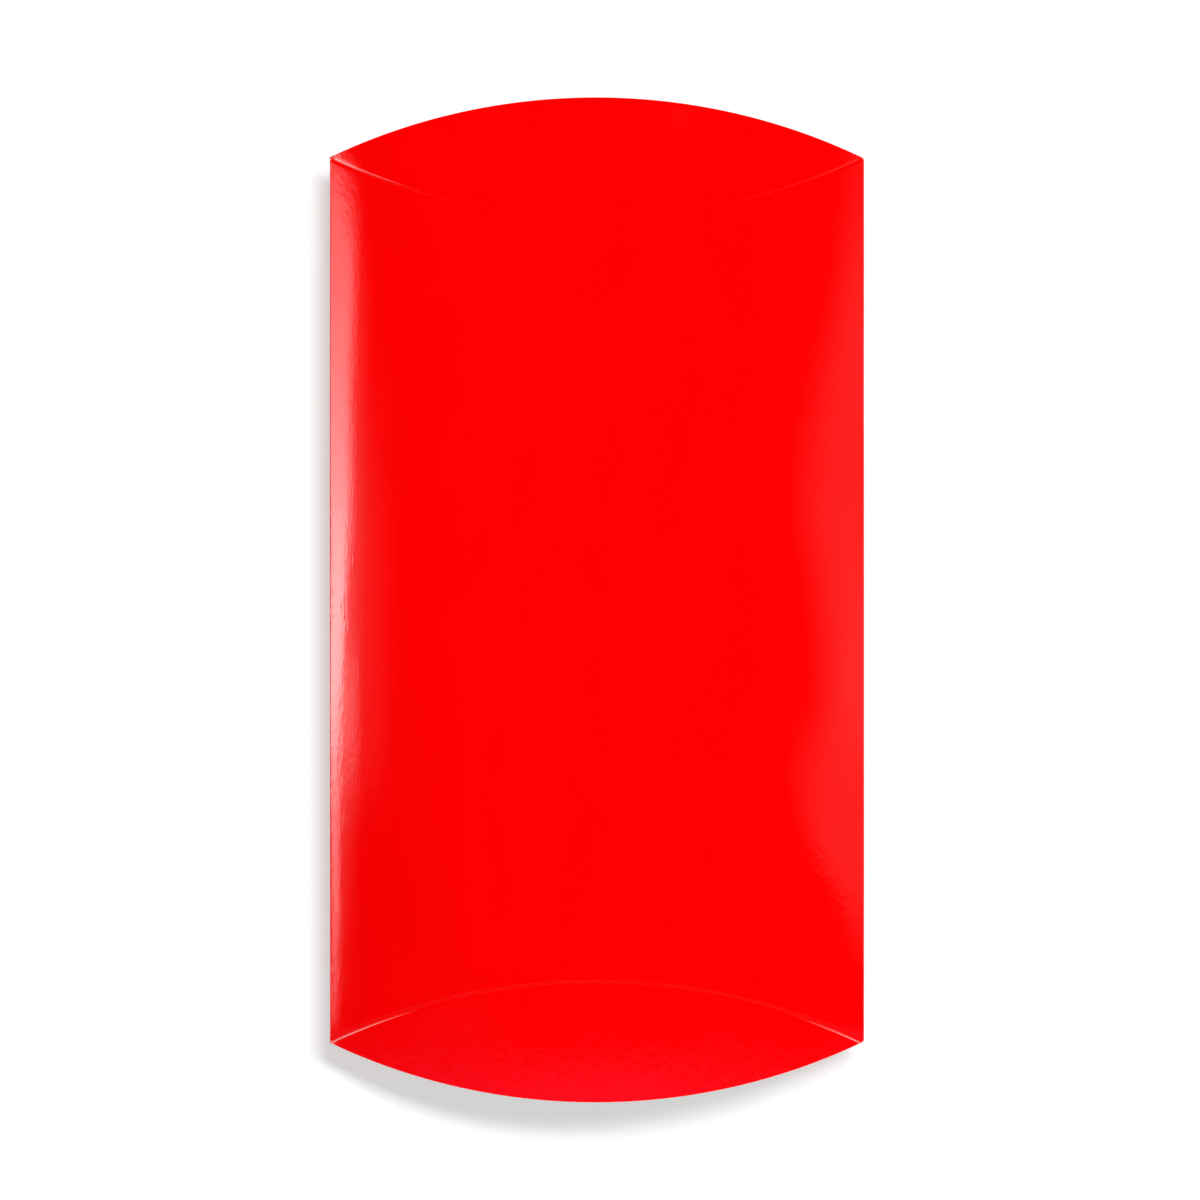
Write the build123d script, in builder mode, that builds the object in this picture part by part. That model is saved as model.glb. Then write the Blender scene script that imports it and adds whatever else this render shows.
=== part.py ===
from build123d import *
from math import asin, atan, cos, degrees, radians, sin, sqrt, tan
import os

# Pillow box of folded card, popped open, with its four end flaps standing out.
# X runs across the box, Y along it and Z up, out of the front panel.
# The origin is under the middle of the back panel, on the surface that the box lies on.
# A bending sheet stays straight along its rulings, which run along Y here, so each panel and each flap
# is divided along them into strips that turn on each other like a roller shutter.

# Sizes of the sleeve, in millimetres
sleeve_width = 111.0  # straight across, between the inside corners of the two side folds
sleeve_length = 184.2  # along a side fold, from corner to corner
inside_depth = 26.8  # between the two panels, at the middle of the box
card_thickness = 0.45

# Strips that a panel or a flap is divided into
strips_each_side = 4  # on each side of the middle one
strip_gap = 0.12  # between two strips, and between a panel and the fold beside it

# Sizes of the end flaps
flap_rise = 11.2  # how far a flap's rounded edge stands past the corners, at its middle
score_gap = 0.15  # between a flap and its panel, square to the plane of the score
tip_setback = 1.8  # from a corner of the sleeve to the blunt tip of a flap
tuck_clearance = 0.4  # between a folded front flap and the back flap behind it

# Sizes of the glued seam
tab_width = 10.0
tab_end_setback = 3.0  # from the corner to the end of the tab, at the fold
tab_end_taper = 30.0  # how far the tab's ends slant, in degrees
glue_width = 6.0
glue_edge_margin = 1.5  # from the tab's free edge to the glue
glue_end_margin = 2.0  # from the tab's ends to the glue's
glue_thickness = 0.05

# The bow of a panel: an arc through the two side folds
half_width = sleeve_width / 2
half_length = sleeve_length / 2
half_depth = inside_depth / 2
bow_radius = (half_width**2 + half_depth**2) / (2 * half_depth)
bow_centre_drop = bow_radius - half_depth
bow_turn = degrees(asin(half_width / bow_radius))
mid_height = half_depth + card_thickness
strip_turn = 2 * bow_turn / (2 * strips_each_side + 1)
gap_turn = degrees(strip_gap / bow_radius)

# A back flap is folded first, so its score lies nearer the middle of the box
back_setback = card_thickness + tuck_clearance

# Depths out from a panel's inside surface, towards the outside
glue_depth = -glue_thickness
tab_depth = -(card_thickness + glue_thickness)

# The back panel's raw edge is flush, from above, with the fold on the other side
raw_edge_turn = degrees(asin((half_width + card_thickness) / (bow_radius + card_thickness)))

# The section of the box is drawn looking along Y, and its plan from below
section = Plane(origin=(0, 0, mid_height), x_dir=(1, 0, 0), z_dir=(0, -1, 0))
floor_plan = Plane.XY.offset(-card_thickness)
plan_height = inside_depth + 4 * card_thickness


def on_bow(turn, depth=0, face=1):
    """A point of a panel's section, at a turn from its middle and a depth out from its inside surface.

    face is 1 for the front panel and -1 for the back panel, which is its mirror image.
    """
    radius = bow_radius + depth
    return Vector(radius * sin(radians(turn)), face * (radius * cos(radians(turn)) - bow_centre_drop))


def fold_corner(side, lower_depth):
    """The inside corner of a side fold, where the front panel meets what it folds into.

    side is 1 for the right and -1 for the left; lower_depth is how far out from the back panel's inside
    surface the lower leg lies.
    """
    lower_radius = bow_radius + lower_depth
    rise = (bow_radius**2 - lower_radius**2) / (4 * bow_centre_drop)
    return Vector(side * sqrt(bow_radius**2 - (rise + bow_centre_drop) ** 2), rise)


seam_corner = fold_corner(-1, tab_depth)
seam_turn = degrees(asin(-seam_corner.X / bow_radius))
tab_start_turn = degrees(asin(-seam_corner.X / (bow_radius + tab_depth)))
tab_end_turn = tab_start_turn - degrees(tab_width / bow_radius)
glue_end_turn = tab_end_turn + degrees(glue_edge_margin / bow_radius)
glue_start_turn = glue_end_turn + degrees(glue_width / bow_radius)


def score_setback(face):
    """How much nearer the middle of the box this panel's scores lie than the corners."""
    return 0 if face > 0 else back_setback


def score_plane(end, face, offset=0):
    """The plane that a curved score lies in, facing out of the box and moved out by the offset.

    It leans by half a right angle, because a flap folded square to its panel is the mirror image, in this
    plane, of the same flap standing out. end is 1 at the top of the box and -1 at the bottom.
    """
    away = offset / sqrt(2)
    corner = (0, end * (half_length - score_setback(face) + away), mid_height + face * away)
    return Plane(origin=corner, x_dir=(1, 0, 0), z_dir=(0, end, face))


def score_point(turn, end, face):
    """Where a score crosses the ruling at this turn, on the inside of the card."""
    point = on_bow(turn, 0, face)
    return Vector(point.X, end * (half_length - score_setback(face) - abs(point.Y)), mid_height + point.Y)


def strip_ends(place):
    """The turns at the left and right edges of a strip, counted from the middle one, without the gaps."""
    return (place - 0.5) * strip_turn, (place + 0.5) * strip_turn


def bent_card(face, first_turn, last_turn, depth=0, thickness=card_thickness):
    """Card bent round the bow from one turn to another, as long as the sleeve and its flaps."""
    turns = (first_turn, (first_turn + last_turn) / 2, last_turn)
    with BuildPart() as card:
        with BuildSketch(section):
            with BuildLine():
                inner = ThreePointArc([on_bow(turn, depth, face) for turn in turns])
                outer = ThreePointArc([on_bow(turn, depth + thickness, face) for turn in turns])
                Line(inner @ 0, outer @ 0)
                Line(inner @ 1, outer @ 1)
            make_face()
        extrude(amount=half_length + flap_rise, both=True)
    return card.part


def panel_strip(name, face, place):
    """A strip of the front or back panel, its ends cut in the planes of the scores."""
    first_turn, last_turn = strip_ends(place)
    first_turn += gap_turn / 2
    last_turn -= gap_turn / 2
    if place == -strips_each_side:
        first_turn = gap_turn - seam_turn if face > 0 else -raw_edge_turn
    if place == strips_each_side:
        last_turn = bow_turn - gap_turn if face > 0 else bow_turn
    card = bent_card(face, first_turn, last_turn)
    with BuildPart() as strip:
        add(card)
        for end in (1, -1):
            split(bisect_by=score_plane(end, face), keep=Keep.BOTTOM)
    strip.part.label = name
    return strip.part


def side_fold(name, side, lower_depth):
    """The bend of a side fold: the card wraps round the inside corner by its own thickness."""
    corner = fold_corner(side, lower_depth)
    front_out = (corner + Vector(0, bow_centre_drop)).normalized() * card_thickness
    back_out = (corner - Vector(0, bow_centre_drop)).normalized() * card_thickness
    side_out = Vector(side * card_thickness, 0)
    with BuildPart() as fold:
        with BuildSketch(section):
            with BuildLine():
                ThreePointArc(corner + front_out, corner + side_out, corner + back_out)
                Polyline(corner + front_out, corner, corner + back_out)
            make_face()
        extrude(amount=half_length, both=True)
        for end in (1, -1):
            split(bisect_by=score_plane(end, 1), keep=Keep.BOTTOM)
            split(bisect_by=score_plane(end, -1), keep=Keep.BOTTOM)
    fold.part.label = name
    return fold.part


def seam_strip(name, start_turn, end_turn, depth, thickness, end_setback):
    """A strip inside the back panel's left edge, with slanted ends: the glue tab, or the glue under it."""
    outer_edge = on_bow(-start_turn).X
    inner_edge = on_bow(-end_turn).X
    outer_end = half_length - end_setback
    inner_end = outer_end - (inner_edge - outer_edge) * tan(radians(tab_end_taper))
    card = bent_card(-1, -start_turn, -end_turn, depth, thickness)
    with BuildPart() as strip:
        add(card)
        with BuildSketch(floor_plan):
            Polygon(
                (outer_edge - card_thickness, -outer_end),
                (inner_edge + card_thickness, -inner_end),
                (inner_edge + card_thickness, inner_end),
                (outer_edge - card_thickness, outer_end),
                align=None,
            )
        extrude(amount=plan_height, mode=Mode.INTERSECT)
    strip.part.label = name
    return strip.part


def half_fold_swing(turn):
    """How far a strip at this turn has swung towards the flap's middle when the flap is half folded."""
    slope_in_score = degrees(atan(sqrt(2) * tan(radians(turn))))
    slope_in_sheet = degrees(atan(sin(radians(turn))))
    return slope_in_score - slope_in_sheet


def flap_strip(name, end, face, place):
    """A strip of a flap, standing out from its panel.

    Its long edges lean in a little from the score to the rim, because the strips swing towards each other
    while the flap folds: half folded, they lie side by side in the plane of the score.
    """
    first_turn, last_turn = strip_ends(place)
    first, last = score_point(first_turn, end, face), score_point(last_turn, end, face)
    lean = radians(half_fold_swing(strip_turn) - half_fold_swing(0)) / 2
    across = Vector((last - first).X, 0, (last - first).Z)
    corner = half_length - score_setback(face)
    rim = corner + flap_rise
    facet = Plane(
        origin=((first + last).X / 2, 0, (first + last).Z / 2),
        x_dir=across,
        z_dir=across.cross(Vector(0, 1, 0)),
    )
    edge = (across.length - strip_gap) / 2
    foot_of_first = abs(first.Y) - 2 * card_thickness
    foot_of_last = abs(last.Y) - 2 * card_thickness
    card = bent_card(face, first_turn - gap_turn, last_turn + gap_turn)
    with BuildPart() as strip:
        add(card)
        split(bisect_by=score_plane(end, face, score_gap), keep=Keep.TOP)
        with BuildSketch(facet):
            Polygon(
                (-edge, end * foot_of_first),
                (edge, end * foot_of_last),
                (edge - (rim - foot_of_last) * tan(lean), end * rim),
                (-edge + (rim - foot_of_first) * tan(lean), end * rim),
                align=None,
            )
        extrude(amount=2 * card_thickness, both=True, mode=Mode.INTERSECT)
        with BuildSketch(floor_plan):
            with BuildLine():
                arc = ThreePointArc((-half_width, end * corner), (0, end * rim), (half_width, end * corner))
                Polyline(arc @ 0, (-half_width, 0), (half_width, 0), arc @ 1)
            make_face()
            Rectangle(2 * (half_width - tip_setback), 2 * sleeve_length, mode=Mode.INTERSECT)
        extrude(amount=plan_height, mode=Mode.INTERSECT)
    strip.part.label = name
    return strip.part


def strip_name(place):
    """What a strip is called by its place in the sheet."""
    if place == 0:
        return "centre"
    side = "left" if place < 0 else "right"
    return f"{side}_{abs(place)}"


places = range(-strips_each_side, strips_each_side + 1)
faces = {"front": 1, "back": -1}
ends = {"top": 1, "bottom": -1}

glue_end_setback = tab_end_setback + glue_end_margin
pieces = [
    side_fold("right_side_fold", 1, 0),
    side_fold("left_side_fold", -1, tab_depth),
    seam_strip("glue_tab", tab_start_turn, tab_end_turn, tab_depth, card_thickness, tab_end_setback),
    seam_strip("glue_line", glue_start_turn, glue_end_turn, glue_depth, glue_thickness, glue_end_setback),
]
for face_name, face in faces.items():
    for place in places:
        pieces.append(panel_strip(f"{face_name}_panel_{strip_name(place)}", face, place))
    for end_name, end in ends.items():
        for place in places:
            name = f"{end_name}_{face_name}_flap_{strip_name(place)}"
            pieces.append(flap_strip(name, end, face, place))

os.makedirs("parts", exist_ok=True)
for piece in pieces:
    export_step(piece, f"parts/{piece.label}.step")
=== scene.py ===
# %% [markdown]
# # A pillow box of gloss red card
#
# A pillow box is one flat sheet of card, folded in two, glued along one side and popped open. Each end closes
# with two flaps that fold along curved scores, and here all four stand out.
#
# The imported CAD model gives the frame: which strips the card is divided into, where they lie and what they
# turn with. This lesson dresses those strips as one smooth sheet, thin, glossy outside and white inside. The
# frame is loaded first.

# %% Load the frame
import math

import bpy
import numpy as np
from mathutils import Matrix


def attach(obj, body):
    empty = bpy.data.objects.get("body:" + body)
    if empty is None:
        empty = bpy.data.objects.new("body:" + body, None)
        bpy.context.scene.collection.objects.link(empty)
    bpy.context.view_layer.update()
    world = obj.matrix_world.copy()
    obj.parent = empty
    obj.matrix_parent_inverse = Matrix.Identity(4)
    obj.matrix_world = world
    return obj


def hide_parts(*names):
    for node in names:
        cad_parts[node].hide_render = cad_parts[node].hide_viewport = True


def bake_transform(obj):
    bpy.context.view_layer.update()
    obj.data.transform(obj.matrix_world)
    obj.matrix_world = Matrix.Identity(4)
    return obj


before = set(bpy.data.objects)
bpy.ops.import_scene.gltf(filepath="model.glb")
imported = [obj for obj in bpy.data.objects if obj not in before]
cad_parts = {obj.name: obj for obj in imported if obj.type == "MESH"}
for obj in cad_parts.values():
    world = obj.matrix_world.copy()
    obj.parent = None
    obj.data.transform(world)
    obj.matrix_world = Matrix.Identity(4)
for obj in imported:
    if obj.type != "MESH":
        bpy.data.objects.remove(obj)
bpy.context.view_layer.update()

# %% [markdown]
# ## The bow of a panel
#
# A sheet of card can bend only one way at a time, so each panel is part of a cylinder whose straight lines
# run along the box. An arc through the two side folds gives its section. The sizes are in millimetres,
# because card, scores and folds are measured so, and every mesh is scaled to metres when it is made.

# %% Sizes of the sleeve and its bow
millimetre = 0.001
sleeve_width = 111.0
sleeve_length = 184.2
inside_depth = 26.8
card_thickness = 0.45

half_width = sleeve_width / 2
half_length = sleeve_length / 2
half_depth = inside_depth / 2
bow_radius = (half_width**2 + half_depth**2) / (2 * half_depth)
bow_drop = bow_radius - half_depth
bow_turn = math.asin(half_width / bow_radius)
mid_height = half_depth + card_thickness
print(f"bow radius {bow_radius:.1f} mm, turning {math.degrees(bow_turn):.1f} degrees each side of the middle")

# %% [markdown]
# ## Front, back and the scores
#
# The front panel is 1 and the back panel is -1, its mirror image; the box's top end is 1 and its bottom end
# -1. A place on the sheet is given by its turn round the bow and by how far along the box it lies.
#
# A curved score lies in a plane that leans by half a right angle, so its distance from the middle of the box
# falls by as much as the panel rises. The back scores lie a little nearer the middle, because the back flaps
# are folded first and the front flaps close over them.

# %% A point of the bent sheet
FRONT, BACK = 1, -1
TOP, BOTTOM = 1, -1
score_setback = {FRONT: 0.0, BACK: 0.85}


def bow_point(face, turn, along, depth):
    """The point of a panel at a turn round its bow, a place along the box and a depth out from its inside."""
    radius = bow_radius + depth
    x = radius * np.sin(turn)
    z = mid_height + face * (radius * np.cos(turn) - bow_drop)
    return np.stack(np.broadcast_arrays(x, along, z), axis=-1)


def score_reach(face, turn):
    """How far along the box the score lies from its middle, at this turn."""
    height = np.maximum(bow_radius * np.cos(turn) - bow_drop, 0)
    return half_length - score_setback[face] - height


print(f"the front scores are {2 * score_reach(FRONT, 0.0):.1f} mm apart at the middle")

# %% [markdown]
# ## What the press leaves in the card
#
# Scoring presses a groove about a millimetre wide into the outside, which stands proud as a bead inside. Its
# wall is steep on the flap's side and gentle on the panel's. Near a corner the sheet is pinched, and a soft
# shoulder runs out of the groove there: on to the flap at the top end, on to the panel at the bottom end. A
# bump in the material could fake it, but the light has to catch it from every side, so it is real shape. It
# only ever lowers the outside, so that the box stays within its size.

# %% Distances from the score and the corners


def score_lean(turn):
    """The cosine of the angle between the score and a line straight across the sheet."""
    return 1 / np.sqrt(1 + np.sin(turn) ** 2)


def past_score(face, turn, along):
    """How far past the score a place lies, square to it: above nothing on the flap, below it on the panel."""
    return (np.abs(along) - score_reach(face, turn)) * score_lean(turn)


def from_corner(turn):
    """How far a place lies from the nearer side fold, round the bow."""
    return bow_radius * (bow_turn - np.abs(turn))


def at_corners(values, turn, along):
    """One of four values, by the corner of the panel that a place is nearest."""
    top = np.where(turn > 0, values["top_right"], values["top_left"])
    bottom = np.where(turn > 0, values["bottom_right"], values["bottom_left"])
    return np.where(along > 0, top, bottom)


print(f"a panel is {2 * from_corner(0.0):.1f} mm wide round its bow")

# %% The groove and its shoulder
groove_depth = 0.09
groove_on_flap = {TOP: 0.2, BOTTOM: 0.38}
groove_on_panel = 0.6
shoulder_depth = 0.05
shoulder_fade = {TOP: 0.45, BOTTOM: 0.8}
shoulder_reach = 4.5
pinch = {"top_left": 1.0, "top_right": 0.25, "bottom_left": 0.5, "bottom_right": 0.5}


def groove(face, turn, along):
    """How deep the card is pressed in, there."""
    top = along > 0
    past = past_score(face, turn, along)
    on_flap = np.where(top, groove_on_flap[TOP], groove_on_flap[BOTTOM])
    share = np.clip(np.where(past > 0, past / on_flap, -past / groove_on_panel), 0, 1)
    wall = 0.5 + 0.5 * np.cos(math.pi * share)
    pinched = at_corners(pinch, turn, along) * np.exp(-np.maximum(from_corner(turn), 0) / shoulder_reach)
    fade_length = np.where(top, shoulder_fade[TOP], shoulder_fade[BOTTOM])
    outwards = np.where(top, past, -past)
    fading = np.where(outwards > 0, np.exp(-np.abs(past) / fade_length), wall)
    return groove_depth * wall + shoulder_depth * pinched * fading


deepest = groove(FRONT, -bow_turn, score_reach(FRONT, bow_turn))
print(f"groove {groove_depth} mm deep, and {deepest:.2f} mm with its shoulder at the upper left corner")

# %% [markdown]
# ## The swell of the sheet
#
# Card is never quite even: it swells by hundredths of a millimetre over a few centimetres. Matt card hides
# that, but a gloss face shows it at once, in the edges of its reflections. A few waves of different lengths,
# laid over each other at different slants, look as irregular as the real thing and are the same every time.

# %% The swell, and a point of the finished sheet
swell_height = 0.07
swell_waves = [
    # share, lengths across and along the box in mm, start, and how much the start differs by face
    (1.0, 19, 43, 0.0, 1.3),
    (1.0, -33, 27, 2.1, 0.0),
    (0.45, 15, 11, 0.0, 0.0),
    (0.25, -9, 6.3, 0.7, 0.0),
]


def swell(face, turn, along):
    """How far the card lies below its even bow."""
    across = bow_radius * turn
    total, largest = 0.0, 0.0
    for share, wide, long, start, by_face in swell_waves:
        total = total + share * np.sin(across / wide + along / long + start + by_face * face)
        largest += share
    return swell_height * (0.5 + total / (2 * largest))


def card_point(face, turn, along, depth):
    """A point of the pressed and swollen card."""
    return bow_point(face, turn, along, depth - groove(face, turn, along) - swell(face, turn, along))


def card_normal(face, turn, along, depth):
    """The direction square to the card there, outwards, from two short steps along its surface."""
    small_turn, small_step = 1e-5, 1e-3
    right, left = (card_point(face, turn + step, along, depth) for step in (small_turn, -small_turn))
    upper, lower = (card_point(face, turn, along + step, depth) for step in (small_step, -small_step))
    normal = face * np.cross(right - left, upper - lower)
    return normal / np.linalg.norm(normal, axis=-1, keepdims=True)


print(f"at the middle of the front the sheet lies {swell(FRONT, 0.0, 0.0):.3f} mm low")

# %% [markdown]
# ## From rings to a closed mesh
#
# Every strip of card is built alike. A ring of points goes once round the strip's long section: along the
# outside, over the end and back along the inside. One ring per step across the strip, joined by quads and
# capped at both sides, makes a closed mesh with real thickness. A flat sheet with a Solidify modifier would be
# shorter, but it could neither round the ends at the scores nor bevel the cut edge.

# %% The faces between the rings
LAMINATE, RAW_EDGE, BOARD = 0, 1, 2


def ring_faces(steps, length, bands, caps, cap_finish):
    """Each face of a piece, with its finish and whether it is shaded smoothly.

    A band is what lies between two neighbours of a ring, all the way across the piece.
    """
    faces = []
    for step in range(steps - 1):
        near, far = step * length, (step + 1) * length
        for place, (finish, is_smooth) in enumerate(bands):
            following = (place + 1) % length
            faces.append(((near + place, far + place, far + following, near + following), finish, is_smooth))
    last = (steps - 1) * length
    for cap in caps:
        faces.append((tuple(cap), cap_finish[0], False))
        faces.append((tuple(last + place for place in reversed(cap)), cap_finish[1], False))
    return faces


example = ring_faces(2, 4, [(LAMINATE, True)] * 4, [(0, 1, 2, 3)], (RAW_EDGE, RAW_EDGE))
print("two rings of four points, capped, make", len(example), "faces: a plain block")

# %% [markdown]
# ## One closed piece of card
#
# The pieces lie side by side on one bow. So that no seam shows between them, each corner gets the true
# direction of the card and not an average of nearby faces. A piece also carries marks, values stored at its
# points, which tell the finishes where the card is cracked and where a highlight is painted along the score.

# %% Build one piece
finishes = []


def card_piece(nodes, rings, normals, bands, caps, cap_finish, outward, marks):
    """A closed mesh from rings of points, named after the first of the nodes that it stands in for."""
    name = "card_" + nodes[0]
    faces, kinds, smooth = zip(*ring_faces(*rings.shape[:2], bands, caps, cap_finish))
    mesh = bpy.data.meshes.new(name)
    points = rings.reshape(-1, 3) * millimetre
    mesh.from_pydata(points.tolist(), [], [face[::outward] for face in faces])
    for finish in finishes:
        mesh.materials.append(finish)
    mesh.polygons.foreach_set("material_index", list(kinds))
    mesh.polygons.foreach_set("use_smooth", [True] * len(faces))
    true_normals = normals.reshape(-1, 3)
    corners = []
    for polygon, is_smooth in zip(mesh.polygons, smooth):
        for vertex in polygon.vertices:
            corners.append(true_normals[vertex] if is_smooth else polygon.normal)
    mesh.normals_split_custom_set([tuple(corner) for corner in corners])
    for mark, values in marks.items():
        layer = mesh.attributes.new(mark, "FLOAT", "POINT")
        layer.data.foreach_set("value", np.asarray(values, np.float32).ravel())
    piece = bpy.data.objects.new(name, mesh)
    bpy.context.scene.collection.objects.link(piece)
    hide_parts(*nodes)
    return piece


print("a piece of card has", BOARD + 1, "finishes: laminate, raw edge and board")

# %% [markdown]
# ## Working with node materials
#
# A finish is a small network of nodes: coordinates go in, noise and sums shape them, and the shader takes the
# colour, the roughness and the bump. Object coordinates are in metres, so a noise scale of 1000 gives
# clouds of about a millimetre. A few helpers keep the networks as short to write as they are to say.

# %% A finish, its coordinates and its noise


def new_finish(name):
    """A node material, its network and its shader."""
    finish = bpy.data.materials.new(name)
    finish.use_nodes = True
    tree = finish.node_tree
    return finish, tree, next(node for node in tree.nodes if node.type == "BSDF_PRINCIPLED")


def own_place(tree, stretch=(1, 1, 1)):
    """Where a point lies on its object, in metres, stretched along each axis."""
    mapping = tree.nodes.new("ShaderNodeMapping")
    mapping.inputs["Scale"].default_value = stretch
    tree.links.new(tree.nodes.new("ShaderNodeTexCoord").outputs["Object"], mapping.inputs["Vector"])
    return mapping.outputs["Vector"]


def noise(tree, vector, scale, detail):
    """Soft random clouds, of about one over scale metres."""
    texture = tree.nodes.new("ShaderNodeTexNoise")
    texture.inputs["Scale"].default_value = scale
    texture.inputs["Detail"].default_value = detail
    tree.links.new(vector, texture.inputs["Vector"])
    return texture.outputs["Fac"]


print(f"a noise of scale 1900 has clouds of about {1 / (1900 * millimetre):.1f} mm")

# %% Sums


def calculate(tree, kind, first, second=0.0):
    """One sum with two values or sockets: SUBTRACT, DIVIDE, ABSOLUTE and so on."""
    node = tree.nodes.new("ShaderNodeMath")
    node.operation = kind
    for socket, value in zip(node.inputs, (first, second)):
        if isinstance(value, (int, float)):
            socket.default_value = value
        else:
            tree.links.new(value, socket)
    return node.outputs["Value"]


def add(tree, total, *others):
    """Several values or sockets, added up."""
    for other in others:
        total = calculate(tree, "ADD", total, other)
    return total


def multiply(tree, product, *others):
    """Several values or sockets, multiplied."""
    for other in others:
        product = calculate(tree, "MULTIPLY", product, other)
    return product


print("sums take values and sockets alike")

# %% Fades


def fade(tree, value, low, high, at_low, at_high):
    """Goes smoothly from one number to another as the value passes from low to high."""
    node = tree.nodes.new("ShaderNodeMapRange")
    node.interpolation_type = "SMOOTHSTEP"
    for socket, number in zip(("From Min", "From Max", "To Min", "To Max"), (low, high, at_low, at_high)):
        node.inputs[socket].default_value = number
    tree.links.new(value, node.inputs["Value"])
    return node.outputs["Result"]


print("a fade is soft at both ends, like the edge of a shadow")

# %% Colours, marks and bumps


def blend_colours(tree, share, first, second):
    """One colour turning into another."""
    node = tree.nodes.new("ShaderNodeMix")
    node.data_type = "RGBA"
    colour_a, colour_b, result = node.inputs[6], node.inputs[7], node.outputs[2]
    tree.links.new(share, node.inputs["Factor"])
    for socket, colour in zip((colour_a, colour_b), (first, second)):
        if isinstance(colour, tuple):
            socket.default_value = colour
        else:
            tree.links.new(colour, socket)
    return result


def mark_of(tree, name):
    """A mark stored in the mesh, such as the distance from the score."""
    node = tree.nodes.new("ShaderNodeAttribute")
    node.attribute_name = name
    return node.outputs["Fac"]


def add_bump(tree, shader, height, depth, after=None):
    """Raises the surface by up to a depth in metres, on top of an earlier bump if there is one."""
    node = tree.nodes.new("ShaderNodeBump")
    node.inputs["Distance"].default_value = depth
    tree.links.new(height, node.inputs["Height"])
    if after is not None:
        tree.links.new(after, node.inputs["Normal"])
    tree.links.new(node.outputs["Normal"], shader.inputs["Normal"])
    return node.outputs["Normal"]


print("marks of a piece: past_pale_line and wear")

# %% [markdown]
# ## The gloss laminate
#
# The outside is printed a full, pure red and covered with a clear gloss film. Under the film the colour is
# even, so nearly all that the eye sees on it is reflection. The shader's own gloss gives that: a low
# roughness that changes a little where the card has been handled, and two very shallow bumps, the fine grain
# of the film and the longer fibres under it, drawn out along the box as the paper machine leaves them.

# %% The red under the film
laminate, tree, shader = new_finish("gloss_red_laminate")
shader.inputs["IOR"].default_value = 1.5
deep_red = (0.965, 0.0, 0.0, 1)
full_red = (1.0, 0.0, 0.0, 1)
clouds = noise(tree, own_place(tree, (1.6, 0.7, 1)), 40, 3)
red = blend_colours(tree, fade(tree, clouds, 0.35, 0.65, 0, 1), deep_red, full_red)
print("red from", deep_red[0], "to", full_red[0])

# %% [markdown]
# ## Cracks and a painted highlight along the scores
#
# Where the card is bent hardest, along the scores near the corners, the film and the ink crack and the white
# board shows in a broken, hair-thin line. The same pale line is also a painted highlight, standing for the
# light that the pinched score catches there. The line's place comes from the mesh, as a mark, because no noise
# knows where the score is. A very fine noise breaks it up.

# %% Cracked film, painted highlight and bare board
# The pale line mixed into the red is partly white board in cracked film and partly a painted highlight.
bare_board_and_highlight = (0.93, 0.90, 0.84, 1)
pale_line_core, pale_line_edge = 0.04, 0.15
breaks = noise(tree, own_place(tree), 5200, 4)
from_line = calculate(tree, "ABSOLUTE", mark_of(tree, "past_pale_line"))
on_line = fade(tree, from_line, pale_line_core, pale_line_edge, 1, 0)
broken_crack_and_highlight = multiply(tree, mark_of(tree, "crack_and_highlight"), fade(tree, breaks, 0.3, 0.7, 0.7, 1.3))
crack_and_highlight_mask = multiply(tree, on_line, broken_crack_and_highlight)
tree.links.new(blend_colours(tree, crack_and_highlight_mask, red, bare_board_and_highlight), shader.inputs["Base Color"])
# The pale line, partly crack and partly painted highlight, is up to twice its edge wide.
print("a crack is up to", 2 * pale_line_edge, "mm wide")

# %% The film's gloss and grain
smoothest, dullest, cracked_dullness = 0.045, 0.075, 0.5
grain_height, fibre_height = 0.0000065, 0.000006
handling = noise(tree, own_place(tree, (1, 0.45, 1)), 90, 5)
film = fade(tree, handling, 0.3, 0.75, smoothest, dullest)
roughness = add(tree, film, multiply(tree, crack_and_highlight_mask, cracked_dullness))
tree.links.new(roughness, shader.inputs["Roughness"])
grain = noise(tree, own_place(tree, (1, 0.3, 1)), 1900, 2)
fibres = noise(tree, own_place(tree, (1, 0.5, 1)), 420, 2)
grained = add_bump(tree, shader, grain, grain_height)
add_bump(tree, shader, fibres, fibre_height, grained)
finishes.append(laminate)
print("laminate:", len(tree.nodes), "nodes")

# %% [markdown]
# ## Raw edge and white board
#
# Where the die cut the card, its white core shows as a pale, matt line that is faintly layered and yellower
# than the face. The inside is the uncoated side of the board: white with a touch of grey, quite matt, with
# short fibres in it and the odd darker speck.

# %% The cut edge
raw_edge, tree, shader = new_finish("cut_edge_of_the_board")
shader.inputs["Roughness"].default_value = 0.85
shader.inputs["Specular IOR Level"].default_value = 0.25
shaded_core, pale_core = (0.74, 0.66, 0.58, 1), (0.95, 0.92, 0.86, 1)
layers = noise(tree, own_place(tree, (1, 1, 6)), 1800, 4)
core = blend_colours(tree, fade(tree, layers, 0.3, 0.7, 0, 1), shaded_core, pale_core)
tree.links.new(core, shader.inputs["Base Color"])
layer_height = 0.00002
add_bump(tree, shader, layers, layer_height)
finishes.append(raw_edge)
print("cut edge:", len(tree.nodes), "nodes")

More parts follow.
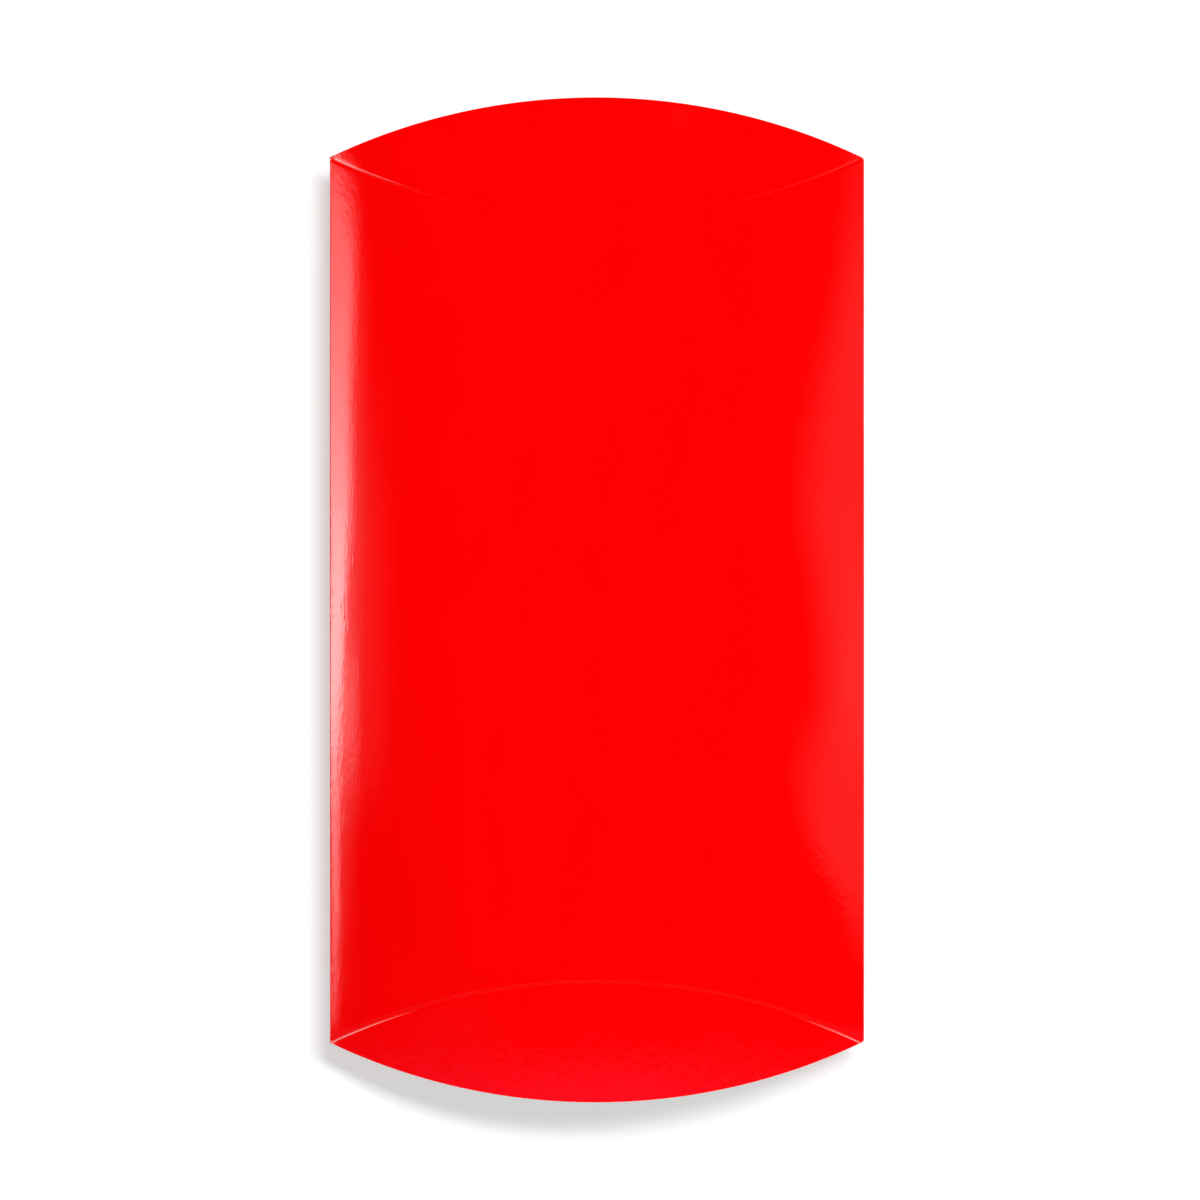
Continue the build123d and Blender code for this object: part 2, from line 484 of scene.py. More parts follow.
# %% The uncoated inside
board, tree, shader = new_finish("uncoated_white_board")
shader.inputs["Roughness"].default_value = 0.8
shader.inputs["Specular IOR Level"].default_value = 0.3
greyer_pulp, whiter_pulp, speck = (0.77, 0.76, 0.73, 1), (0.85, 0.84, 0.82, 1), (0.52, 0.47, 0.40, 1)
pulp = noise(tree, own_place(tree, (1, 0.6, 1)), 160, 5)
fine = noise(tree, own_place(tree, (1, 0.35, 1)), 2600, 3)
specks = noise(tree, own_place(tree), 1400, 1)
paper = blend_colours(tree, fade(tree, pulp, 0.3, 0.7, 0, 1), greyer_pulp, whiter_pulp)
speckled = blend_colours(tree, fade(tree, specks, 0.74, 0.80, 0, 0.35), paper, speck)
tree.links.new(speckled, shader.inputs["Base Color"])
short_fibre_height = 0.00001
add_bump(tree, shader, fine, short_fibre_height)
finishes.append(board)
print("inside board:", len(tree.nodes), "nodes")

# %% [markdown]
# ## How the panels are divided
#
# A panel is one sheet, and the frame divides it into nine strips that turn on each other when the box is
# pressed flat. Real card doesn't kink there but unbends evenly. So each drawn piece reaches from the middle
# of one strip to the middle of the next one, across their hinge. All the pieces lie on the same bow, so
# together they are smooth at rest.

# %% The strips and their names
strips_each_side = 4
strip_turn = 2 * bow_turn / (2 * strips_each_side + 1)
face_names = {FRONT: "front", BACK: "back"}
end_names = {TOP: "top", BOTTOM: "bottom"}


def strip_name(place):
    """What a strip is called by its place in the sheet."""
    if place == 0:
        return "centre"
    return f"{'left' if place < 0 else 'right'}_{abs(place)}"


print(f"{strip_name(-4)} to {strip_name(4)}, each {bow_radius * strip_turn:.1f} mm wide")

# %% [markdown]
# ## Where the film is cracked and the highlight painted
#
# In the photograph the pale line, partly cracks and partly painted highlight, lies a little past the score. It
# starts near three of the corners and fades out within two centimetres; at the upper right there is hardly any.

# %% The marks that a piece carries
# Where and how strongly the pale line of cracks and painted highlight lies, at each corner.
pale_line_offset = {"top_left": 0.45, "top_right": 0.27, "bottom_left": 0.36, "bottom_right": 0.39}
crack_and_highlight_amount = {"top_left": 0.31, "top_right": 0.006, "bottom_left": 0.42, "bottom_right": 0.42}
pale_line_from = {"top_left": 2.0, "top_right": 2.0, "bottom_left": 6.0, "bottom_right": 0.0}
pale_line_to = {"top_left": 20.0, "top_right": 20.0, "bottom_left": 21.0, "bottom_right": 15.0}


def marks_of(face, turn, along):
    """The marks of a place: how far past the pale line it is, and how strongly its cracks and painted highlight
    show.
    """
    corner_values = (pale_line_offset, crack_and_highlight_amount, pale_line_from, pale_line_to)
    line, amount, near, far = (at_corners(values, turn, along) for values in corner_values)
    share = np.clip((from_corner(turn) - near) / (far - near), 0, 1)
    crack_and_highlight_share = amount * (1 - share * share * (3 - 2 * share))
    return {"past_pale_line": past_score(face, turn, along) - line, "crack_and_highlight": crack_and_highlight_share}


print("the film is cracked up to", max(pale_line_to.values()), "mm from a corner")

# %% [markdown]
# ## The edges of a panel
#
# At the right both panels run up to the fold's inside corner. At the left the front sheet folds round the glue
# tab, which lies inside the back panel, so that corner sits a card's thickness further in. The back panel's
# raw edge ends just under the left fold, where it isn't seen from above.

# %% The seam's corner and the panels' edges
LEFT, RIGHT = -1, 1
glue_thickness = 0.05
tucked_in = 0.02
seam_drop = -(card_thickness + glue_thickness)
lower_radius = bow_radius + seam_drop
seam_rise = (bow_radius**2 - lower_radius**2) / (4 * bow_drop)
seam_x = math.sqrt(bow_radius**2 - (seam_rise + bow_drop) ** 2)
seam_turn = math.asin(seam_x / bow_radius)
raw_edge_turn = math.asin((seam_x + card_thickness - tucked_in) / (bow_radius + card_thickness))
panel_edge = {
    (FRONT, LEFT): -seam_turn,
    (BACK, LEFT): -raw_edge_turn,
    (FRONT, RIGHT): bow_turn,
    (BACK, RIGHT): bow_turn,
}


def span_edges(face, place):
    """The turns at both edges of a drawn piece, which starts at the middle of this strip of the panel."""
    left, right = place * strip_turn, (place + 1) * strip_turn
    if place == -strips_each_side:
        left = panel_edge[face, LEFT]
    if place == strips_each_side - 1:
        right = panel_edge[face, RIGHT]
    return left, right


print(f"seam {math.degrees(seam_turn):.2f}, raw edge {math.degrees(raw_edge_turn):.2f} degrees from the middle")

# %% [markdown]
# ## The rim of the flaps
#
# Seen from above, each flap is cut to one shallow arc from corner to corner. The panels need it too, because
# their rounded ends have to stay under it.

# %% The rim's arc
flap_rise = 11.197
rim_radius = (half_width**2 + flap_rise**2) / (2 * flap_rise)


def rim_reach(face, turn):
    """How far along the box the rim's arc lies from its middle."""
    x = np.minimum(bow_radius * np.abs(np.sin(turn)), half_width)
    return half_length - score_setback[face] + flap_rise - rim_radius + np.sqrt(rim_radius**2 - x**2)


print(f"rim radius {rim_radius:.0f} mm")

# %% [markdown]
# ## The pieces of a panel
#
# Rows of points lie close together at the score, where the groove is, and far apart in between. Past the
# score a piece ends in a rounded nose. It is hidden inside the flap while that stands out, and is the fold's
# round edge once the flap is folded.

# %% The rows of a panel, and its nose
panel_steps = np.array([0, 0.1, 0.2, 0.3, 0.4, 0.5, 0.62, 0.75, 1.0, 1.5])
panel_rows = 45
nose_steps = 5
nose_floor = 0.17
rim_margin = 0.02


def panel_along(face, turn):
    """How far along the box each row of points lies, from the bottom score to the top one."""
    near_end = score_reach(face, turn)[:, None] - panel_steps[None] / score_lean(turn)[:, None]
    between = np.linspace(-1, 1, panel_rows)[None, 1:-1] * near_end[:, -1:]
    return np.concatenate([-near_end, between, near_end[:, ::-1]], axis=1)


def nose(face, turn, end, inside, normal):
    """The round end at a score: from the card's own direction to that of the folded flap.

    It keeps a little out from the card's inside, so that nothing shows there while the flap stands out.
    """
    folded = np.stack(np.broadcast_arrays(-np.sin(turn), end * np.cos(turn), 0 * turn), axis=-1)
    angle = np.arccos(np.sum(normal * folded, axis=-1, keepdims=True))
    facing = []
    for share in np.linspace(0, 1, nose_steps + 1)[1:]:
        facing.append((np.sin((1 - share) * angle) * normal + np.sin(share * angle) * folded) / np.sin(angle))
    facing = np.stack(facing, axis=1)
    points = inside[:, None] + card_thickness * facing
    depth_in_card = card_thickness * np.sum(facing * normal[:, None], axis=-1, keepdims=True)
    points += np.maximum(nose_floor - depth_in_card, 0) * normal[:, None]
    points[..., 1] = end * np.minimum(end * points[..., 1], rim_reach(face, turn)[:, None] - rim_margin)
    return points, facing


print("rows of points on one side of a panel:", 2 * len(panel_steps) + panel_rows - 2)

# %% The bands and caps of a panel's piece


def panel_skin(rows):
    """The bands round a ring with a nose at both ends, and the caps that close the piece's sides."""
    bands = [(LAMINATE, True)] * (rows - 1 + nose_steps) + [(LAMINATE, False)]
    bands += [(BOARD, True)] * (rows - 1) + [(LAMINATE, False)] + [(LAMINATE, True)] * nose_steps
    inner = [2 * rows + nose_steps - 1 - row for row in range(rows)]
    caps = [(row, row + 1, inner[row + 1], inner[row]) for row in range(rows - 1)]
    caps.append(tuple(range(rows - 1, rows + nose_steps + 1)))
    caps.append((*range(inner[0], inner[0] + nose_steps + 1), 0))
    return bands, caps


print("a ring of the smallest such piece has", len(panel_skin(2)[0]), "bands")

# %% Make the panels
columns = 9


def panel_span(face, place):
    """A piece of a panel, from the middle of one strip to the middle of the next, and from score to score."""
    left, right = span_edges(face, place)
    turn = np.linspace(left, right, 1 + round((columns - 1) * (right - left) / strip_turn))
    spread, along = turn[:, None], panel_along(face, turn)
    outside = card_point(face, spread, along, card_thickness)
    normal = card_normal(face, spread, along, card_thickness)
    inside = outside - card_thickness * normal
    top_nose, top_facing = nose(face, turn, TOP, inside[:, -1], normal[:, -1])
    low_nose, low_facing = nose(face, turn, BOTTOM, inside[:, 0], normal[:, 0])
    rings = np.concatenate([outside, top_nose, inside[:, ::-1], low_nose[:, ::-1]], axis=1)
    normals = np.concatenate([normal, top_facing, -normal[:, ::-1], low_facing[:, ::-1]], axis=1)
    marks = {}
    for mark, values in marks_of(face, spread, along).items():
        at_top, at_bottom = (np.repeat(edge, nose_steps, axis=1) for edge in (values[:, -1:], values[:, :1]))
        marks[mark] = np.concatenate([values, at_top, values[:, ::-1], at_bottom], axis=1)
    bands, caps = panel_skin(along.shape[1])
    has_raw_edge = face == BACK and place == -strips_each_side
    cap_finish = (RAW_EDGE if has_raw_edge else LAMINATE, LAMINATE)
    first, second = (f"{face_names[face]}_panel_{strip_name(strip)}" for strip in (place, place + 1))
    nodes = [second] if place >= 0 else [first]
    if place == -1:
        nodes.append(second)
    piece = card_piece(nodes, rings, normals, bands, caps, cap_finish, face, marks)
    start, end = (bow_point(face, strip * strip_turn, 0.0, 0.0) * millimetre for strip in (place, place + 1))
    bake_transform(piece)
    return piece


for face in (FRONT, BACK):
    for place in range(-strips_each_side, strips_each_side):
        piece = panel_span(face, place)
print("last piece of a panel:", len(piece.data.vertices), "points,", len(piece.data.polygons), "faces")

# %% [markdown]
# ## The closing flaps
#
# A flap is the part of the same sheet past the score, cut to the rim's arc. Folded, it becomes the mirror
# image of itself in the plane of its score, and its edge closes the end of the box. It follows the same bow,
# groove and swell as its panel. The cut edge has a fine bevel, because the die crushes the card as it goes
# through, and its pale line shows along the rim.

# %% The rows of a flap
flap_steps = np.array([0, 0.04, 0.08, 0.12, 0.16, 0.2, 0.26, 0.32, 0.38, 0.6, 0.9, 1.3])
open_rows = 9
tip_bluntness = 0.12
tip_turn = math.asin((half_width - tip_bluntness) / bow_radius)
bevel_along, bevel_down = {TOP: 0.03, BOTTOM: 0.08}, 0.06
bevel_share = 0.2


def flap_along(face, end, turn):
    """How far along the box each row of a flap lies, from the score to the rim, and how wide the flap is.

    Near the tips, where it is narrow, the rows at the score are squeezed into three quarters of its width.
    """
    start = score_reach(face, turn)[:, None]
    width = rim_reach(face, turn)[:, None] - bevel_along[end] * 0.5 - start
    share = np.arange(len(flap_steps))[None] / (len(flap_steps) + 3)
    pressed = np.minimum(flap_steps[None] / score_lean(turn)[:, None], share * width)
    rest = pressed[:, -1:] + np.linspace(0, 1, open_rows)[None, 1:] * (width - pressed[:, -1:])
    return end * (start + np.concatenate([pressed, rest], axis=1)), width


print(f"a flap is {rim_reach(FRONT, 0.0) - score_reach(FRONT, 0.0):.1f} mm wide at its middle")

# %% The rim's bevel, and the bands and caps of a flap's strip


def bevelled_rim(outside, inside, normal, bevel, end):
    """The two lines of points along the cut edge. The last row of the outside steps back for the bevel."""
    step = np.concatenate([0 * bevel, end * bevel * 0.5, 0 * bevel], axis=1)
    outer_line = outside[:, -1] + step - bevel_down * normal[:, -1]
    inner_line = inside[:, -1] + step
    outside[:, -1, 1] -= end * bevel[:, 0] * 0.5
    return outer_line[:, None], inner_line[:, None]


def flap_skin(rows):
    """The bands round a ring with a cut edge at the rim, and the caps that close the strip's sides."""
    bands = [(LAMINATE, True)] * (rows - 1) + [(RAW_EDGE, False)] * 2
    bands += [(BOARD, True)] * rows + [(LAMINATE, False)]
    inner = [2 * rows + 1 - row for row in range(rows)]
    caps = [(row, row + 1, inner[row + 1], inner[row]) for row in range(rows - 1)]
    caps.append((rows - 1, rows, rows + 1, rows + 2))
    return bands, caps


print("bevel:", bevel_along[TOP], "mm along at the top,", bevel_along[BOTTOM], "mm at the bottom")

# %% Make the flaps


def flap_strip(face, end, place):
    """One strip of a flap, from the score to the rim."""
    left, right = (place - 0.5) * strip_turn, (place + 0.5) * strip_turn
    turn = np.linspace(max(left, -tip_turn), min(right, tip_turn), columns)
    along, width = flap_along(face, end, turn)
    spread = turn[:, None]
    outside = card_point(face, spread, along, card_thickness)
    normal = card_normal(face, spread, along, card_thickness)
    inside = outside - card_thickness * normal
    bevel = np.minimum(bevel_along[end], bevel_share * width)
    outer_line, inner_line = bevelled_rim(outside, inside, normal, bevel, end)
    rings = np.concatenate([outside, outer_line, inner_line, inside[:, ::-1]], axis=1)
    normals = np.concatenate([normal, normal[:, -1:], -normal[:, -1:], -normal[:, ::-1]], axis=1)
    marks = {}
    for mark, values in marks_of(face, spread, along).items():
        edge = values[:, -1:]
        marks[mark] = np.concatenate([values, edge, edge, values[:, ::-1]], axis=1)
    bands, caps = flap_skin(along.shape[1])
    node = f"{end_names[end]}_{face_names[face]}_flap_{strip_name(place)}"
    piece = card_piece([node], rings, normals, bands, caps, (LAMINATE, LAMINATE), face * end, marks)
    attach(piece, node)
    return piece


for face in (FRONT, BACK):
    for end in (TOP, BOTTOM):
        for place in range(-strips_each_side, strips_each_side + 1):
            piece = flap_strip(face, end, place)
print("last flap strip:", len(piece.data.vertices), "points")

# %% [markdown]
# ## Strips without a score
#
# The side folds and the glue tab are plainer: outside, inside and two cut ends. They have no score, so their
# marks are all nothing.

# %% Build a strip with two cut ends


def plain_strip(node, outside, inside, facing, smooth_inside, cap_finish, outward):
    """A piece from its outside and inside points, laid out in rows along the box."""
    rings = np.concatenate([outside, inside[:, ::-1]], axis=1)
    normals = np.concatenate([facing, -facing[:, ::-1]], axis=1)
    rows = outside.shape[1]
    bands = [(LAMINATE, True)] * (rows - 1) + [(RAW_EDGE, False)]
    bands += [(BOARD, smooth_inside)] * (rows - 1) + [(RAW_EDGE, False)]
    caps = [(row, row + 1, 2 * rows - 2 - row, 2 * rows - 1 - row) for row in range(rows - 1)]
    unmarked = np.zeros(rings.shape[:2])
    marks = {"past_pale_line": unmarked, "crack_and_highlight": unmarked}
    return card_piece([node], rings, normals, bands, caps, cap_finish, outward, marks)


strip_rows = 47
print("such a strip has", strip_rows, "rows along the box")

# %% [markdown]
# ## The side folds
#
# Down each side the card wraps round in one tight bend with its own thickness as radius. The bend takes up
# where the front panel stops, in the same direction, and turns on to the back panel or, on the left, to the
# glue tab. Its ends are cut on a slant, from the corner of the front score to that of the back one, so that
# the box's four corners stay sharp.

# %% The two bends
bend_steps = 12


def side_fold(node, body, side, corner_x, corner_rise):
    """A wedge of card round an inside corner, as long as the sleeve."""
    front_angle = math.atan2(corner_rise + bow_drop, corner_x)
    back_angle = math.atan2(corner_rise - bow_drop, corner_x)
    angle = np.linspace(front_angle, back_angle, bend_steps + 1)[:, None]
    height = card_thickness * np.sin(angle)
    back_slope = 1 - score_setback[BACK] / height[-1, 0]
    end_reach = half_length - np.maximum(height, -height * back_slope)
    along = np.linspace(-1, 1, strip_rows)[None] * end_reach
    radius = card_thickness - swell(FRONT, panel_edge[FRONT, side], along)
    inner = np.stack(np.broadcast_arrays(side * corner_x, along, mid_height + corner_rise), axis=-1)
    facing = np.stack(np.broadcast_arrays(side * np.cos(angle), 0 * along, np.sin(angle)), axis=-1)
    outer = inner + radius[..., None] * facing
    piece = plain_strip(node, outer, inner, facing, False, (LAMINATE, LAMINATE), side)
    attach(piece, body)
    return piece


right_fold = side_fold("right_side_fold", "back_panel_right_4", RIGHT, half_width, 0.0)
left_fold = side_fold("left_side_fold", "back_panel_left_4", LEFT, seam_x, seam_rise)
print("points of the bends:", len(right_fold.data.vertices), "and", len(left_fold.data.vertices))

# %% [markdown]
# ## The glue tab
#
# The tab is a narrow strip of the front sheet, folded in at the left and glued inside the back panel. Its
# ends are slanted so that they stay clear of the flaps. It is seen only through the open ends, as a second
# thickness of white board with a cut edge.

# %% The tab
tab_width = 10.0
tab_end_setback = 3.0
tab_end_taper = math.radians(30)
tab_start_turn = math.asin(seam_x / (bow_radius + seam_drop))
tab_end_turn = tab_start_turn - tab_width / bow_radius
tab_columns = 13


def glue_tab():
    """The tab, bent as the back panel is, a card's thickness inside it."""
    turn = np.linspace(-tab_start_turn, -tab_end_turn, tab_columns)[:, None]
    x = bow_radius * np.sin(turn)
    reach = half_length - tab_end_setback - (x - x[0]) * math.tan(tab_end_taper)
    along = np.linspace(-1, 1, strip_rows)[None] * reach
    sink = swell(BACK, turn, along)
    outside = bow_point(BACK, turn, along, seam_drop + card_thickness - sink)
    inside = bow_point(BACK, turn, along, seam_drop - sink)
    facing = bow_point(BACK, turn, along, 1.0) - bow_point(BACK, turn, along, 0.0)
    piece = plain_strip("glue_tab", outside, inside, facing, True, (LAMINATE, RAW_EDGE), BACK)
    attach(piece, "back_panel_left_4")
    return piece


tab = glue_tab()
print("the tab is", tab_width, "mm wide, with", len(tab.data.vertices), "points")

# %% [markdown]
# ## The glue
#
# Between the tab and the back panel lies a film of dried carton glue. Its solid in the frame already has the
# right shape, so it keeps that and only gets a finish: cloudy, a little yellow, with runs along the seam.

# %% Dried glue
glue, tree, shader = new_finish("dried_carton_glue")
shader.inputs["Roughness"].default_value = 0.45
thick_glue, thin_glue = (0.78, 0.72, 0.58, 1), (0.90, 0.88, 0.82, 1)
runs = noise(tree, own_place(tree, (3, 0.3, 1)), 500, 3)
cloudy = blend_colours(tree, fade(tree, runs, 0.3, 0.7, 0, 1), thick_glue, thin_glue)
tree.links.new(cloudy, shader.inputs["Base Color"])
run_height = 0.00002
add_bump(tree, shader, runs, run_height)
glue_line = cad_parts["glue_line"]
glue_line.data.materials.clear()
glue_line.data.materials.append(glue)
print("glue:", len(tree.nodes), "nodes, on the frame's own solid")

# %% [markdown]
# ## The camera
#
# The photograph looks straight down on the box from about a metre. Straight sides there are as long as they
# should be, and the middle of the picture lies a hair to the right of the box's own. The field of view
# follows from how much of the picture the box fills.

# %% Look straight down
picture_width = 250.0
camera_height = 1000.0
camera_shift_right = 0.90
lens = bpy.data.cameras.new("looking_down")
lens.sensor_fit = "HORIZONTAL"
lens.angle = 2 * math.atan(picture_width / 2 / camera_height)
camera = bpy.data.objects.new("looking_down", lens)
camera.location = (camera_shift_right * millimetre, 0, (mid_height + camera_height) * millimetre)
bpy.context.scene.collection.objects.link(camera)
bpy.context.scene.camera = camera
print(f"field of view {math.degrees(lens.angle):.2f} degrees")

# %% [markdown]
# ## The table
#
# The box lies on a plain table that runs out of the picture. Its real colour is a middling grey. What is
# looked at of it, straight, in the gloss or through something clear, is lifted by a share of white, so that
# it is plain white wherever no shadow falls. The box gets no light from that, so its own colours stay as they
# are written.

# %% The table and its white
table_side = 6.0
table_clearance = 0.02
edge = table_side / 2
table_corners = [(-edge, -edge, 0), (edge, -edge, 0), (edge, edge, 0), (-edge, edge, 0)]
table_mesh = bpy.data.meshes.new("table")
table_mesh.from_pydata(table_corners, [], [(0, 1, 2, 3)])
table = bpy.data.objects.new("table", table_mesh)
table.location.z = -table_clearance * millimetre
bpy.context.scene.collection.objects.link(table)

table_grey, share_of_white = 0.515, 0.52
white_table, tree, shader = new_finish("white_table")
shader.inputs["Base Color"].default_value = (table_grey, table_grey, table_grey, 1)
shader.inputs["Roughness"].default_value = 1.0
shader.inputs["Specular IOR Level"].default_value = 0.0
shader.inputs["Emission Color"].default_value = (1, 1, 1, 1)
ray = tree.nodes.new("ShaderNodeLightPath").outputs
looked_at = add(tree, ray["Is Camera Ray"], ray["Is Glossy Ray"], ray["Is Transmission Ray"])
tree.links.new(multiply(tree, looked_at, share_of_white), shader.inputs["Emission Strength"])
table_mesh.materials.append(white_table)
print("table", table_side, "m across")

# %% [markdown]
# ## The key light
#
# One soft lamp stands high at the upper right and throws the soft shadow to the lower left. Its long side
# makes the shadow's edge softer one way than the other. It would show as a white rectangle in the gloss,
# which the photograph doesn't have, so the gloss doesn't see it.

# %% The lamp
key_light = bpy.data.lights.new("key", "AREA")
key_light.shape = "RECTANGLE"
key_light.size, key_light.size_y = 0.68, 0.30
key_light.energy = 41.5
key = bpy.data.objects.new("key", key_light)
key.location = (0.45, 0.55, 2.0)
key.rotation_euler.z = math.radians(-25)
key.visible_glossy = False
bpy.context.scene.collection.objects.link(key)
print("the key stands", key.location.z, "m above the table and shines straight down")

# %% [markdown]
# ## What the gloss reflects
#
# The red face shows its surroundings as a dark mirror does, so the room is drawn as the card sees it, in the
# world's nodes. Real softboxes as lamps would do as well, but each would also light the card. Two numbers say
# where a reflected ray goes: how far it leans across the box, in degrees from straight up, and how steeply it
# runs along the box. Overhead it is dark, which keeps the middle of the gloss a full red.

# %% Where a reflected ray goes
world = bpy.data.worlds.new("studio")
bpy.context.scene.world = world
world.use_nodes = True
tree = world.node_tree
tree.nodes.clear()
ray = tree.nodes.new("ShaderNodeLightPath").outputs
around = tree.nodes.new("ShaderNodeTexCoord")
split = tree.nodes.new("ShaderNodeSeparateXYZ")
tree.links.new(around.outputs["Generated"], split.inputs["Vector"])
ray_x, ray_y, ray_z = (split.outputs[axis] for axis in "XYZ")
lean = calculate(tree, "DEGREES", calculate(tree, "ARCTAN2", ray_x, ray_z))
squares = add(tree, calculate(tree, "POWER", ray_x, 2), calculate(tree, "POWER", ray_z, 2))
run = calculate(tree, "DIVIDE", ray_y, calculate(tree, "SQRT", squares))
leftwards = multiply(tree, lean, -1)
print("a ray straight up has a lean and a run of nothing")

# %% [markdown]
# ## A value that changes along the box
#
# The pale band in the photograph isn't straight, even in width or even in strength. Curves say how its edges
# and its strength change with the run, each through a handful of listed points. Seen from the camera, a
# run of -0.1 is at the box's bottom end and one of 0.1 at its top end.

# %% Curves over the run
run_limit = 0.1


def curve_along(points, low, high):
    """A value between low and high that changes along the box, through points of run and value."""
    node = tree.nodes.new("ShaderNodeFloatCurve")
    line = node.mapping.curves[0]
    spots = [((at + run_limit) / (2 * run_limit), (value - low) / (high - low)) for at, value in points]
    line.points[0].location, line.points[-1].location = spots[0], spots[-1]
    for spot in spots[1:-1]:
        line.points.new(*spot)
    node.mapping.update()
    share = tree.nodes.new("ShaderNodeMapRange")
    share.inputs["From Min"].default_value, share.inputs["From Max"].default_value = -run_limit, run_limit
    tree.links.new(run, share.inputs["Value"])
    tree.links.new(share.outputs["Result"], node.inputs["Value"])
    return add(tree, multiply(tree, node.outputs["Value"], high - low), low)


print("curves reach from a run of", -run_limit, "to", run_limit)

# %% [markdown]
# ## The softbox at the left
#
# A long softbox low at the left shows as the pale band down the left edge. It begins where the bow has turned
# far enough, its near edge is soft and wavers, and its far edge ends just before the fold in three places. It
# is brightest at the middle and ends just before the scores. A weak halo lies before it, with two faint
# patches below the middle.

# %% The left softbox: its edges, in degrees of lean
near_edge = curve_along(
    [(-0.1, 56.4), (-0.083, 56.25), (-0.0625, 55.3), (-0.042, 55.3), (-0.021, 54.3), (0.0, 53.7), (0.021, 52.4),
     (0.042, 52.6), (0.0625, 51.7), (0.073, 51.6), (0.083, 53.8), (0.089, 55.6), (0.1, 57.5)],
    48, 60,
)
softness = curve_along(
    [(-0.1, 0.4), (-0.083, 0.4), (-0.0625, 0.5), (-0.042, 0.7), (-0.021, 0.5), (0.0, 0.9), (0.021, 1.6),
     (0.042, 1.8), (0.0625, 1.7), (0.073, 1.9), (0.083, 3.2), (0.1, 2.0)],
    0, 4,
)
far_edge = curve_along(
    [(-0.1, 56.4), (-0.0625, 56.4), (-0.042, 56.8), (-0.034, 57.0), (-0.028, 60.0), (-0.007, 60.0),
     (-0.004, 57.2), (0.019, 57.2), (0.022, 60.0), (0.074, 60.0), (0.077, 56.9), (0.081, 56.9), (0.084, 60.0),
     (0.1, 60.0)],
    50, 62,
)
past_edge = calculate(tree, "SUBTRACT", leftwards, near_edge)
past_far_edge = calculate(tree, "SUBTRACT", leftwards, far_edge)
print("its near edge leans 51 to 57 degrees, its far edge from 56 degrees on")

# %% The left softbox: its strength
brightest = 10.6
strength = curve_along(
    [(-0.1, 0.0), (-0.0935, 0.0), (-0.0905, 5.0), (-0.083, 7.5), (-0.0625, 5.2), (-0.042, 5.4), (-0.021, 8.3),
     (0.0, brightest), (0.021, 6.9), (0.042, 5.4), (0.0625, 3.6), (0.073, 3.2), (0.083, 4.6), (0.088, 3.4),
     (0.0935, 0.0), (0.1, 0.0)],
    0, 12,
)
halo = curve_along(
    [(-0.1, 0.0), (-0.083, 0.02), (-0.0625, 0.3), (-0.042, 0.6), (-0.032, 1.3), (-0.02, 1.5), (-0.01, 1.1),
     (0.021, 0.7), (0.042, 0.65), (0.0625, 0.35), (0.08, 0.05), (0.1, 0.0)],
    0, 4,
)
narrow_patch = multiply(tree, fade(tree, run, -0.037, -0.031, 0, 1), fade(tree, run, -0.017, -0.010, 1, 0))
wide_patch = multiply(tree, fade(tree, run, -0.048, -0.025, 0, 1), fade(tree, run, 0.005, 0.065, 0.33, 0))
left_box = add(
    tree,
    multiply(tree, strength, fade(tree, calculate(tree, "DIVIDE", past_edge, softness), -1, 1, 0, 1)),
    multiply(tree, halo, fade(tree, past_edge, -5.5, 0.5, 0, 1)),
    multiply(tree, narrow_patch, fade(tree, leftwards, 50.0, 51.2, 0, 1.1)),
    multiply(tree, wide_patch, fade(tree, leftwards, 40, 53, 0, 1)),
)
left_box = multiply(tree, left_box, fade(tree, past_far_edge, -0.3, 0.6, 1, 0.05))
print("at its brightest the softbox is", brightest, "times as bright as white paper")

# %% [markdown]
# ## The dim panel at the right
#
# At the right a dim panel gives a faint sheen that grows towards the fold. Near the bottom end a second patch
# lies there, with a slanted lower edge.

# %% The right panel and its patch
right_edge = curve_along(
    [(-0.1, 38.0), (-0.0375, 37.5), (-0.028, 42.0), (-0.021, 43.5), (0.0, 42.0), (0.018, 38.0), (0.025, 38.0),
     (0.042, 41.5), (0.0625, 47.0), (0.073, 48.5), (0.083, 49.5), (0.1, 52.0)],
    36, 52,
)
right_strength = curve_along(
    [(-0.1, 0.0), (-0.046, 0.05), (-0.0375, 0.22), (-0.028, 0.5), (-0.021, 0.62), (0.0, 0.5), (0.021, 0.36),
     (0.042, 0.38), (0.0625, 0.5), (0.073, 0.5), (0.083, 0.3), (0.1, 0.3)],
    0, 1,
)
patch_lean, patch_strength = 38, 0.36
slant_start, slant = 0.044, 0.00203
past_right = calculate(tree, "SUBTRACT", lean, right_edge)
right_box = multiply(tree, right_strength, fade(tree, past_right, 0, 14, 0, 1))
patch_across = fade(tree, calculate(tree, "SUBTRACT", lean, patch_lean), 0, 4, 0, patch_strength)
patch_along = multiply(tree, fade(tree, run, -0.048, -0.036, 1, 0.2), fade(tree, run, -0.034, -0.024, 1, 0))
patch = multiply(tree, patch_across, patch_along)
slanted_edge = add(tree, calculate(tree, "SUBTRACT", run, slant_start), multiply(tree, lean, slant))
